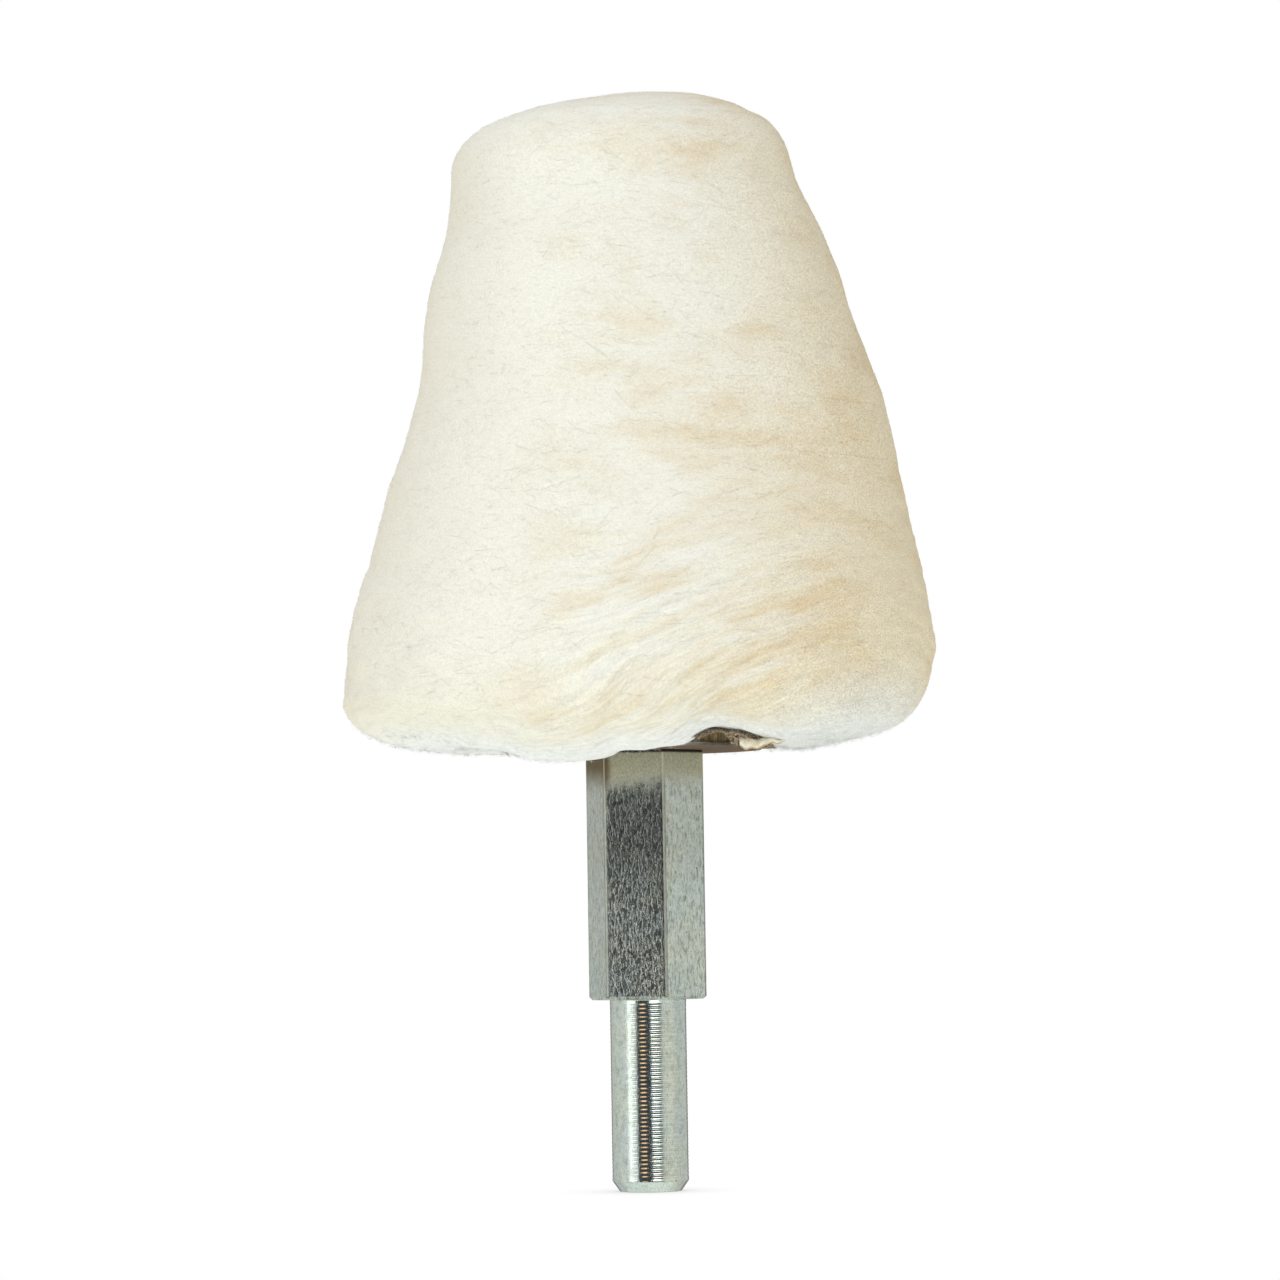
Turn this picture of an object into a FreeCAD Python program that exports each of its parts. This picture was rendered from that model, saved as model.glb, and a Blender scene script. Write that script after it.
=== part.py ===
import FreeCAD, Part
import math
import os

import Sketcher

# A goblet polishing mop: graded cotton plies clamped between washers by a screw that is tapped into
# a hexagonal drive shank. All sizes are millimetres. The origin is the centre of the shank's free
# end and +Z runs along the shank towards the mop's crown.

SIZES = {
    # round shank and spanner hexagon
    "shank_dia": 8.0,
    "shank_len": 20.0,
    "shank_chamfer_rise": 1.1,
    "shank_chamfer_run": 0.8,
    "hex_flats": 11.0,
    "hex_len": 26.0,
    "hex_edge_run": 0.5,
    "hex_edge_rise": 0.35,
    # screw thread and the hole tapped for it
    "thread_dia": 6.0,
    "thread_play": 0.05,
    "tapped_depth": 16.0,
    "drill_point_angle": 118.0,
    "clearance_hole_dia": 6.6,
    # clamp stack under the cotton
    "base_washer_dia": 25.0,
    "base_washer_thick": 0.5,
    "base_disc_dia": 24.0,
    "base_disc_thick": 1.0,
    # clamp stack over the cotton
    "top_disc_dia": 18.0,
    "top_disc_thick": 1.0,
    "top_washer_dia": 18.0,
    "top_washer_thick": 1.6,
    "washer_edge_break": 0.15,
    # split spring washer
    "spring_washer_bore": 6.2,
    "spring_washer_dia": 11.8,
    "spring_washer_thick": 1.6,
    "spring_washer_gap": 0.9,
    "spring_washer_lean": 0.5,
    # socket head screw
    "screw_len": 60.0,
    "screw_point": 0.8,
    "head_dia": 10.0,
    "head_len": 6.0,
    "head_edge_break": 0.6,
    "socket_flats": 5.0,
    "socket_depth": 3.0,
    # cotton plies
    "set_count": 14,
    "plies_per_set": 5,
    "core_len": 41.3,
    "ply_gap": 0.1,
    # goblet outline that the ply rims are dressed to
    "rim_low_radius": 23.0,
    "rim_low_height": 46.4,
    "rim_round": 8.0,
    "rim_max_radius": 31.0,
    "waist_radius": 25.7,
    "waist_height": 79.5,
    "shoulder_radius": 18.4,
    "shoulder_height": 105.0,
    "dome_radius": 15.7,
    "dome_height": 111.4,
    "crown_radius": 7.5,
    "crown_height": 115.0,
    # how far a ply runs flat past its clamp before it bends
    "low_bend": 6.0,
    "crown_bend": 2.5,
}

SHEET = "Sizes"
HEX_SIDES = 6
FULL_TURN = 360.0

# Heights of the seats that the stacked pieces stand on, from the free end of the shank.
HEX_TOP = "Sizes.shank_len + Sizes.hex_len"
BASE_DISC_SEAT = f"{HEX_TOP} + Sizes.base_washer_thick"
COTTON_SEAT = f"{BASE_DISC_SEAT} + Sizes.base_disc_thick"
TOP_DISC_SEAT = f"{COTTON_SEAT} + Sizes.core_len"
TOP_WASHER_SEAT = f"{TOP_DISC_SEAT} + Sizes.top_disc_thick"
SPRING_WASHER_SEAT = f"{TOP_WASHER_SEAT} + Sizes.top_washer_thick"
HEAD_SEAT = f"{SPRING_WASHER_SEAT} + Sizes.spring_washer_thick"


# ---- document and sheet ----

def make_sheet(doc):
    sheet = doc.addObject("Spreadsheet::Sheet", SHEET)
    for row, (alias, number) in enumerate(SIZES.items(), start=1):
        sheet.set(f"A{row}", alias)
        sheet.set(f"B{row}", str(number))
        sheet.setAlias(f"B{row}", alias)
    doc.recompute()
    return sheet


def value(sheet, expression):
    """The number that an expression over the sheet gives."""
    return float(sheet.evalExpression(expression))


# ---- PartDesign helpers ----

def new_body(doc, label, seat):
    body = doc.addObject("PartDesign::Body", label)
    body.Label = label
    body.setExpression("Placement.Base.z", seat)
    return body


def new_sketch(body, name, plane, lift=None):
    """A sketch on one of the body's own origin planes, lifted along its normal where one is given."""
    sketch = body.newObject("Sketcher::SketchObject", name)
    support = next(f for f in body.Origin.OriginFeatures if f.Role == plane)
    sketch.AttachmentSupport = [(support, "")]
    sketch.MapMode = "FlatFace"
    if lift:
        sketch.setExpression("AttachmentOffset.Base.z", lift)
    return sketch


def bind(sketch, constraint, expression):
    """Adds a dimension and ties it to an expression over the sheet."""
    index = sketch.addConstraint(constraint)
    sketch.setExpression(f"Constraints[{index}]", expression)


def place_point(sketch, geometry, end, across, up, sheet):
    """Fixes one end of a line at expressions across and up from the sketch's origin."""
    for kind, axis, expression in (("DistanceX", -2, across), ("DistanceY", -1, up)):
        distance = value(sheet, expression)
        if distance == 0:
            sketch.addConstraint(Sketcher.Constraint("PointOnObject", geometry, end, axis))
        else:
            bind(sketch, Sketcher.Constraint(kind, -1, 1, geometry, end, distance), expression)


def draw_outline(sketch, corners, sheet):
    """A closed outline of straight lines through corners, each a pair of expressions."""
    points = [FreeCAD.Vector(value(sheet, a), value(sheet, u), 0) for a, u in corners]
    count = len(points)
    for i, point in enumerate(points):
        sketch.addGeometry(Part.LineSegment(point, points[(i + 1) % count]), False)
    for i in range(count):
        sketch.addConstraint(Sketcher.Constraint("Coincident", i, 2, (i + 1) % count, 1))
    for i, (across, up) in enumerate(corners):
        place_point(sketch, i, 1, across, up, sheet)


def draw_hexagon(sketch, flats, sheet):
    """A hexagon round the origin with one pair of flats square to the sketch's second axis."""
    corner_radius = value(sheet, flats) / math.sqrt(3)
    step = 2 * math.pi / HEX_SIDES
    points = [
        FreeCAD.Vector(corner_radius * math.cos(i * step), corner_radius * math.sin(i * step), 0)
        for i in range(HEX_SIDES)
    ]
    for i, point in enumerate(points):
        sketch.addGeometry(Part.LineSegment(point, points[(i + 1) % HEX_SIDES]), False)
    for i in range(HEX_SIDES):
        sketch.addConstraint(Sketcher.Constraint("Coincident", i, 2, (i + 1) % HEX_SIDES, 1))
    guide = sketch.addGeometry(
        Part.Circle(FreeCAD.Vector(0, 0, 0), FreeCAD.Vector(0, 0, 1), corner_radius), True
    )
    sketch.addConstraint(Sketcher.Constraint("Coincident", guide, 3, -1, 1))
    for i in range(HEX_SIDES):
        sketch.addConstraint(Sketcher.Constraint("PointOnObject", i, 1, guide))
    for i in range(1, HEX_SIDES):
        sketch.addConstraint(Sketcher.Constraint("Equal", 0, i))
    sketch.addConstraint(Sketcher.Constraint("PointOnObject", 0, 1, -1))
    bind(
        sketch,
        Sketcher.Constraint("Diameter", guide, 2 * corner_radius),
        f"2 * {flats} / sqrt(3)",
    )


def pad(body, sketch, name, length):
    feature = body.newObject("PartDesign::Pad", name)
    feature.Profile = sketch
    feature.setExpression("Length", length)
    return feature


def pocket(body, sketch, name, depth, reverse=False):
    feature = body.newObject("PartDesign::Pocket", name)
    feature.Profile = sketch
    feature.Reversed = reverse
    feature.setExpression("Length", depth)
    return feature


def turn(body, sketch, name, kind="PartDesign::Revolution"):
    """A full turn of a profile about the body's upright axis: an added shape, or a Groove."""
    feature = body.newObject(kind, name)
    feature.Profile = sketch
    feature.ReferenceAxis = (sketch, ["V_Axis"])
    feature.Angle = FULL_TURN
    return feature


def must_cut(doc, before, feature):
    """Recomputes, and stops where a cut took nothing away."""
    doc.recompute()
    if feature.Shape.Volume > before.Shape.Volume - 1e-6:
        raise RuntimeError(f"{feature.Name} removed no material")


# ---- metal and card pieces ----

def make_drive_shank(doc, sheet):
    """Hexagon bar turned down to a round chuck shank, and tapped in its upper end."""
    body = new_body(doc, "drive_shank", "0")

    profile = new_sketch(body, "shank_profile", "XZ_Plane")
    radius = "Sizes.shank_dia / 2"
    draw_outline(profile, [
        ("0", "0"),
        (f"{radius} - Sizes.shank_chamfer_run", "0"),
        (radius, "Sizes.shank_chamfer_rise"),
        (radius, "Sizes.shank_len"),
        ("0", "Sizes.shank_len"),
    ], sheet)
    turn(body, profile, "round_shank")

    hexagon = new_sketch(body, "hex_outline", "XY_Plane", "Sizes.shank_len")
    draw_hexagon(hexagon, "Sizes.hex_flats", sheet)
    hex_bar = pad(body, hexagon, "hex_bar", "Sizes.hex_len")
    doc.recompute()

    # The lathe tool that turns the shank also breaks the lower corners of the hexagon.
    edge = new_sketch(body, "edge_break_profile", "XZ_Plane")
    corner = "Sizes.hex_flats / sqrt(3)"
    draw_outline(edge, [
        (f"{corner} - Sizes.hex_edge_run", "Sizes.shank_len"),
        (f"{corner} + Sizes.hex_edge_run", "Sizes.shank_len"),
        (f"{corner} + Sizes.hex_edge_run", "Sizes.shank_len + 2 * Sizes.hex_edge_rise"),
    ], sheet)
    edge_break = turn(body, edge, "hex_edge_break", "PartDesign::Groove")
    must_cut(doc, hex_bar, edge_break)

    hole = new_sketch(body, "tapped_hole_profile", "XZ_Plane")
    bore = "Sizes.thread_dia / 2"
    floor = f"{HEX_TOP} - Sizes.tapped_depth"
    point_rise = f"{bore} / tan(Sizes.drill_point_angle / 2 * 1 deg)"
    draw_outline(hole, [
        ("0", f"{floor} - {point_rise}"),
        (bore, floor),
        (bore, HEX_TOP),
        ("0", HEX_TOP),
    ], sheet)
    tapped_hole = turn(body, hole, "tapped_hole", "PartDesign::Groove")
    must_cut(doc, edge_break, tapped_hole)
    return body


def make_plain_ring(doc, sheet, label, seat, outer, thick, edge_break=None):
    """A flat washer or disc with the screw's clearance hole, its outer edges broken if asked."""
    body = new_body(doc, label, seat)
    profile = new_sketch(body, f"{label}_profile", "XZ_Plane")
    bore = "Sizes.clearance_hole_dia / 2"
    rim = f"{outer} / 2"
    if edge_break:
        rim_corners = [
            (f"{rim} - {edge_break}", "0"),
            (rim, edge_break),
            (rim, f"{thick} - {edge_break}"),
            (f"{rim} - {edge_break}", thick),
        ]
    else:
        rim_corners = [(rim, "0"), (rim, thick)]
    draw_outline(profile, [(bore, "0"), *rim_corners, (bore, thick)], sheet)
    turn(body, profile, f"{label}_ring")
    return body


def make_spring_washer(doc, sheet):
    """A split ring, closed flat by the screw, with a slanting gap at +X."""
    body = new_body(doc, "spring_washer", SPRING_WASHER_SEAT)
    profile = new_sketch(body, "spring_washer_profile", "XZ_Plane")
    bore = "Sizes.spring_washer_bore / 2"
    rim = "Sizes.spring_washer_dia / 2"
    draw_outline(profile, [
        (bore, "0"),
        (rim, "0"),
        (rim, "Sizes.spring_washer_thick"),
        (bore, "Sizes.spring_washer_thick"),
    ], sheet)
    ring = turn(body, profile, "spring_washer_ring")

    slit = new_sketch(body, "spring_washer_slit", "YZ_Plane")
    half = "Sizes.spring_washer_gap / 2"
    lean = "Sizes.spring_washer_lean"
    draw_outline(slit, [
        (f"-{half} - {lean}", "-0.1"),
        (f"{half} - {lean}", "-0.1"),
        (f"{half} + {lean}", "Sizes.spring_washer_thick + 0.1"),
        (f"-{half} + {lean}", "Sizes.spring_washer_thick + 0.1"),
    ], sheet)
    gap = pocket(body, slit, "spring_washer_gap", "Sizes.spring_washer_dia", reverse=True)
    must_cut(doc, ring, gap)
    return body


def make_clamp_screw(doc, sheet):
    """Socket head screw whose bearing face sits on the spring washer."""
    body = new_body(doc, "clamp_screw", HEAD_SEAT)
    profile = new_sketch(body, "screw_profile", "XZ_Plane")
    thread = "Sizes.thread_dia / 2 - Sizes.thread_play"
    head = "Sizes.head_dia / 2"
    draw_outline(profile, [
        ("0", "-Sizes.screw_len"),
        (f"{thread} - Sizes.screw_point", "-Sizes.screw_len"),
        (thread, "-Sizes.screw_len + Sizes.screw_point"),
        (thread, "0"),
        (head, "0"),
        (head, "Sizes.head_len - Sizes.head_edge_break"),
        (f"{head} - Sizes.head_edge_break", "Sizes.head_len"),
        ("0", "Sizes.head_len"),
    ], sheet)
    blank = turn(body, profile, "screw_blank")

    hexagon = new_sketch(body, "socket_outline", "XY_Plane", "Sizes.head_len")
    draw_hexagon(hexagon, "Sizes.socket_flats", sheet)
    socket = pocket(body, hexagon, "hex_socket", "Sizes.socket_depth")
    must_cut(doc, blank, socket)
    return body


# ---- cotton plies ----

def goblet_outline(size, seat):
    """The line, in the XZ plane, that the ply rims end on, from the underside to the crown.

    Its heights are from the seat that the cotton is clamped on.
    """
    def at(radius, height):
        return FreeCAD.Vector(radius, 0, height - seat)

    low = at(size("rim_low_radius"), size("rim_low_height"))
    side = at(size("rim_max_radius"), size("rim_low_height") + size("rim_round"))
    centre = at(size("rim_low_radius"), size("rim_low_height") + size("rim_round"))
    round_mid = centre + (low - centre + side - centre).normalize() * size("rim_round")
    waist = at(size("waist_radius"), size("waist_height"))
    shoulder = at(size("shoulder_radius"), size("shoulder_height"))
    dome = at(size("dome_radius"), size("dome_height"))
    crown = at(size("crown_radius"), size("crown_height"))
    return Part.Wire([
        Part.Arc(low, round_mid, side).toShape(),
        Part.Arc(side, waist, shoulder).toShape(),
        Part.Arc(shoulder, dome, crown).toShape(),
    ])


def ply_curve(size, share, core_height, rim):
    """One face of a ply in the XZ plane: flat in the clamp, then bending out to its rim."""
    def blend(low, high):
        return low + (high - low) * share

    bore = size("clearance_hole_dia") / 2
    clamp = blend(size("base_disc_dia"), size("top_disc_dia")) / 2
    bend = clamp + blend(size("low_bend"), size("crown_bend"))
    start = FreeCAD.Vector(bore, 0, core_height)
    edge = FreeCAD.Vector(clamp, 0, core_height)
    flare = Part.BezierCurve()
    flare.setPoles([edge, FreeCAD.Vector(bend, 0, core_height), rim])
    return Part.LineSegment(start, edge).toShape(), flare.toShape()


def make_ply(size, index, count, rims):
    """One cloth disc: the space between two neighbouring ply faces, turned about the axis."""
    pitch = size("core_len") / count
    gap = size("ply_gap")
    low_rim = rims[index] + (rims[index + 1] - rims[index]).normalize() * gap
    high_rim = rims[index + 1]
    low_flat, low_flare = ply_curve(size, index / count, index * pitch, low_rim)
    high_height = (index + 1) * pitch - gap
    high_flat, high_flare = ply_curve(size, (index + 1) / count, high_height, high_rim)
    bore_edge = Part.LineSegment(low_flat.Vertexes[0].Point, high_flat.Vertexes[0].Point)
    rim_edge = Part.LineSegment(low_rim, high_rim)
    edges = [low_flat, low_flare, rim_edge.toShape(), high_flare, high_flat, bore_edge.toShape()]
    face = Part.Face(Part.Wire(Part.__sortEdges__(edges)))
    axis = FreeCAD.Vector(0, 0, 1)
    return face.revolve(FreeCAD.Vector(0, 0, 0), axis, FULL_TURN)


def make_ply_sets(doc, sheet):
    """The cotton, in sets of plies: each set is cut with one die, and the dies get smaller upwards."""
    def size(alias):
        return float(sheet.get(alias))

    sets = int(size("set_count"))
    per_set = int(size("plies_per_set"))
    count = sets * per_set
    seat = value(sheet, COTTON_SEAT)
    rims = goblet_outline(size, seat).discretize(Number=count + 1)
    features = []
    for number in range(sets):
        first = number * per_set
        plies = [make_ply(size, first + i, count, rims) for i in range(per_set)]
        feature = doc.addObject("Part::Feature", f"cotton_ply_set_{number + 1:02d}")
        feature.Label = feature.Name
        feature.Shape = Part.makeCompound(plies)
        feature.Placement = FreeCAD.Placement(FreeCAD.Vector(0, 0, seat), FreeCAD.Rotation())
        features.append(feature)
    return features


# ---- assembly ----

def make_model(doc, sheet):
    pieces = [
        make_drive_shank(doc, sheet),
        make_plain_ring(
            doc, sheet, "base_washer", HEX_TOP,
            "Sizes.base_washer_dia", "Sizes.base_washer_thick", "Sizes.washer_edge_break",
        ),
        make_plain_ring(
            doc, sheet, "base_fibre_disc", BASE_DISC_SEAT,
            "Sizes.base_disc_dia", "Sizes.base_disc_thick",
        ),
        make_plain_ring(
            doc, sheet, "top_fibre_disc", TOP_DISC_SEAT,
            "Sizes.top_disc_dia", "Sizes.top_disc_thick",
        ),
        make_plain_ring(
            doc, sheet, "top_washer", TOP_WASHER_SEAT,
            "Sizes.top_washer_dia", "Sizes.top_washer_thick", "Sizes.washer_edge_break",
        ),
        make_spring_washer(doc, sheet),
        make_clamp_screw(doc, sheet),
    ]
    return pieces + make_ply_sets(doc, sheet)


def check(doc, pieces):
    """Stops before anything is written if an object failed or a piece has no valid shape."""
    for thing in doc.Objects:
        if "Invalid" in thing.State or "Error" in thing.State:
            raise RuntimeError(f"{thing.Name} failed: {thing.State}")
    for piece in pieces:
        if piece.Shape.isNull() or not piece.Shape.isValid():
            raise RuntimeError(f"{piece.Label} has no valid shape")


def main():
    doc = FreeCAD.newDocument("goblet_mop")
    sheet = make_sheet(doc)
    pieces = make_model(doc, sheet)
    doc.recompute()
    check(doc, pieces)
    os.makedirs("parts", exist_ok=True)
    for piece in pieces:
        piece.Shape.exportStep(os.path.join("parts", f"{piece.Label}.step"))
        print(f"{piece.Label}: {len(piece.Shape.Solids)} solids, {piece.Shape.Volume:.1f} mm3")


main()
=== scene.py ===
import itertools
import math

import bpy
import numpy as np
from mathutils import Matrix, Vector


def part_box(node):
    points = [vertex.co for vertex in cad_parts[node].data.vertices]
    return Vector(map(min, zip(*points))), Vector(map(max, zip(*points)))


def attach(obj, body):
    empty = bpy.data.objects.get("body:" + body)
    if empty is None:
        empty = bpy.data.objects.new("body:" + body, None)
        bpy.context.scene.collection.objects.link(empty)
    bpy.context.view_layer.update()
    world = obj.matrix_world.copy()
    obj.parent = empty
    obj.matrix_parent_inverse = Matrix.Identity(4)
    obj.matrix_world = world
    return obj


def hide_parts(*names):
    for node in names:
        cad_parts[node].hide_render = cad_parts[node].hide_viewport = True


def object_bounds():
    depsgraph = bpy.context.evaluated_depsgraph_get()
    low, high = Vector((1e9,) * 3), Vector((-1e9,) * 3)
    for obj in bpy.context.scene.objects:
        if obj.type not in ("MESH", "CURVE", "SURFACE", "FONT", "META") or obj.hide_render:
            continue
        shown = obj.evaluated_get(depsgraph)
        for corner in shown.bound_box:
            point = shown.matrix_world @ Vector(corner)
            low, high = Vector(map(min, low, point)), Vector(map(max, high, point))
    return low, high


# The looks of the goblet polishing mop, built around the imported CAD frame. Lengths are millimetres
# until a mesh is made.

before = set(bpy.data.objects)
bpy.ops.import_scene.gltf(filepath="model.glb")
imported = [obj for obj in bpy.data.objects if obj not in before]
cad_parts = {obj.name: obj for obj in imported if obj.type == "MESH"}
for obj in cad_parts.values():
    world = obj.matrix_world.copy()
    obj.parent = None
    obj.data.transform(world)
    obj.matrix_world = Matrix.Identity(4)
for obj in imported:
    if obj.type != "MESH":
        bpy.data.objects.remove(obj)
cad_low, cad_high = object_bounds()

MM = 0.001
SEED = 41
TURN = 2 * math.pi

CAMERA_AZIMUTH = math.radians(12.2)
CAMERA_DISTANCE = 550.0
CAMERA_HEIGHT = 27.2
CAMERA_AIM_HEIGHT = 57.7
CAMERA_AIM_ASIDE = -0.24
CAMERA_ROLL = math.radians(0.9)
CAMERA_LENS = 147.3

UP = np.array([0.0, 0.0, 1.0])
RIGHT = np.array([math.cos(CAMERA_AZIMUTH), math.sin(CAMERA_AZIMUTH), 0.0])
TOWARD = np.array([math.sin(CAMERA_AZIMUTH), -math.cos(CAMERA_AZIMUTH), 0.0])
FRONT = CAMERA_AZIMUTH - math.pi / 2


def node_box(name):
    """Lowest and highest corner of a CAD node, in millimetres."""
    low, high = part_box(name)
    return np.array(low) / MM, np.array(high) / MM


def node_radius(name):
    return node_box(name)[1][0]


SET_COUNT = sum(1 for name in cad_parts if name.startswith("cotton_ply_set_"))
SET_NAMES = [f"cotton_ply_set_{number + 1:02d}" for number in range(SET_COUNT)]

HEX_TOP = node_box("base_washer")[0][2]
DISC_LOW, DISC_HIGH = (corner[2] for corner in node_box("base_fibre_disc"))
DISC_RADIUS = node_radius("base_fibre_disc")
COTTON_LOW = node_box(SET_NAMES[0])[0][2]
COTTON_HIGH = node_box(SET_NAMES[-1])[1][2]
COTTON_RADIUS = max(node_radius(name) for name in SET_NAMES)
TOP_DISC_LOW = node_box("top_fibre_disc")[0][2]
TOP_DISC_RADIUS = node_radius("top_fibre_disc")


# ---- numbers ----

def ease(low, high, at):
    """A smooth change from 0 at low to 1 at high."""
    share = np.clip((np.asarray(at, float) - low) / (high - low), 0, 1)
    return share * share * (3 - 2 * share)


def fade(low, high, at):
    """A smooth change from 1 at low to 0 at high."""
    return 1 - ease(low, high, at)


def bell(centre, spread, at):
    return np.exp(-0.5 * ((np.asarray(at, float) - centre) / spread) ** 2)


def lattice_noise(points, seed):
    """Seeded gradient noise, about -1 to 1, with a lump about every unit of distance."""
    draw = np.random.default_rng(SEED * 1000 + seed)
    table = draw.permutation(256)
    slopes = draw.normal(size=(256, 3))
    slopes /= np.linalg.norm(slopes, axis=1)[:, None]
    flat = points.reshape(-1, 3)
    cell = np.floor(flat).astype(int)
    inside = flat - cell
    share = inside ** 3 * (inside * (inside * 6 - 15) + 10)
    total = np.zeros(len(flat))
    for corner in itertools.product((0, 1), repeat=3):
        key = cell + corner
        index = table[(table[(table[key[:, 0] & 255] + key[:, 1]) & 255] + key[:, 2]) & 255]
        weight = np.prod(np.where(corner, share, 1 - share), axis=1)
        total += weight * np.einsum("ij,ij->i", slopes[index], inside - corner)
    return (total * 1.7).reshape(points.shape[:-1])


def smooth_line(points, step):
    """Evenly spaced points on a smooth line through the given ones, and their travel along it."""
    given = np.array(points, float)
    given = np.vstack([2 * given[0] - given[1], given, 2 * given[-1] - given[-2]])
    dense = []
    for a, b, c, d in zip(given[:-3], given[1:-2], given[2:-1], given[3:]):
        gaps = [np.linalg.norm(q - p) ** 0.5 for p, q in ((a, b), (b, c), (c, d))]
        knots = np.cumsum([0] + gaps)
        t = np.linspace(knots[1], knots[2], 40, endpoint=False)[:, None]

        def mix(p, q, low, high):
            return (knots[high] - t) / (knots[high] - knots[low]) * p + \
                (t - knots[low]) / (knots[high] - knots[low]) * q

        ab, bc, cd = mix(a, b, 0, 1), mix(b, c, 1, 2), mix(c, d, 2, 3)
        dense.append(mix(mix(ab, bc, 0, 2), mix(bc, cd, 1, 3), 1, 2))
    dense = np.vstack(dense + [given[-2][None]])
    travel = np.concatenate([[0], np.cumsum(np.linalg.norm(np.diff(dense, axis=0), axis=1))])
    even = np.linspace(0, travel[-1], int(round(travel[-1] / step)) + 1)
    return np.stack([np.interp(even, travel, dense[:, k]) for k in (0, 1)], 1), even


# ---- meshes ----

def new_piece(name, points, faces, material, body, uvs=None, marks=None, sharp_angle=None):
    """A mesh piece that rides on a body. Faces are arrays of corner numbers, one array a shape."""
    mesh = bpy.data.meshes.new(name)
    mesh.vertices.add(len(points))
    mesh.vertices.foreach_set("co", (np.asarray(points) * MM).astype(np.float32).ravel())
    corners = np.concatenate([np.asarray(f).ravel() for f in faces]).astype(np.int32)
    sizes = np.concatenate([np.full(len(f), np.asarray(f).shape[1]) for f in faces])
    starts = np.concatenate([[0], np.cumsum(sizes)[:-1]]).astype(np.int32)
    mesh.loops.add(len(corners))
    mesh.loops.foreach_set("vertex_index", corners)
    mesh.polygons.add(len(sizes))
    mesh.polygons.foreach_set("loop_start", starts)
    mesh.polygons.foreach_set("use_smooth", np.ones(len(sizes), bool))
    mesh.update(calc_edges=True)
    if uvs is not None:
        layer = mesh.uv_layers.new(name="OFBake")
        layer.data.foreach_set("uv", np.asarray(uvs, np.float32).ravel())
    for mark, values in (marks or {}).items():
        values = np.asarray(values, np.float32)
        kind, key = ("FLOAT", "value") if values.ndim == 1 else ("FLOAT_VECTOR", "vector")
        mesh.attributes.new(mark, kind, "POINT").data.foreach_set(key, values.ravel())
    if sharp_angle:
        mesh.set_sharp_from_angle(angle=math.radians(sharp_angle))
    mesh.materials.append(material)
    piece = bpy.data.objects.new(name, mesh)
    bpy.context.scene.collection.objects.link(piece)
    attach(piece, body)
    return piece


def grid_faces(rows, columns, wrap_rows=False):
    """Quads over rows of points that close round on themselves, and their corners' UVs."""
    last = rows if wrap_rows else rows - 1
    i, j = np.meshgrid(np.arange(last), np.arange(columns), indexing="ij")
    i, j = i.ravel(), j.ravel()
    up, across = (i + 1) % rows, (j + 1) % columns
    corners = (i, j), (i, across), (up, across), (up, j)
    quads = np.stack([row * columns + column for row, column in corners], 1)
    u, v = j / columns, i / last
    du, dv = 1 / columns, 1 / last
    uvs = np.stack([u, v, u + du, v, u + du, v + dv, u, v + dv], 1)
    return quads, uvs


def lathe(name, rings, angles, material, body, sharp_angle=32):
    """A solid of revolution, its angles counted from X. Each ring is (radius, height), either of
    them a number or one for each angle. The first or last ring may have None for a radius and is
    then a centre point; without any the rings close up."""
    angles = np.asarray(angles, float)
    columns = len(angles)
    body_rings = [ring for ring in rings if ring[0] is not None]
    radius = np.array([np.broadcast_to(r, columns) for r, _ in body_rings], float)
    height = np.array([np.broadcast_to(h, columns) for _, h in body_rings], float)
    points = np.stack([radius * np.cos(angles), radius * np.sin(angles), height], -1).reshape(-1, 3)
    quads, uvs = grid_faces(len(body_rings), columns, wrap_rows=rings[0][0] is not None)
    faces, all_uvs = [quads], [uvs.ravel()]
    here = np.arange(columns)
    across = (here + 1) % columns
    base = (len(body_rings) - 1) * columns
    first = (across, here), [0, 0, 0, 0.01, 0.01, 0]
    last = (base + here, base + across), [0, 1, 0, 0.99, 0.01, 1]
    for ring, (pair, corner_uvs) in ((rings[0], first), (rings[-1], last)):
        if ring[0] is None:
            points = np.vstack([points, [[0, 0, ring[1]]]])
            faces.append(np.stack([np.full(columns, len(points) - 1), *pair], 1))
            all_uvs.append(np.tile(corner_uvs, columns))
    all_uvs = np.concatenate(all_uvs)
    return new_piece(name, points, faces, material, body, all_uvs, None, sharp_angle)


def even_angles(count):
    return np.arange(count) * TURN / count


# ---- material nodes ----

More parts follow.
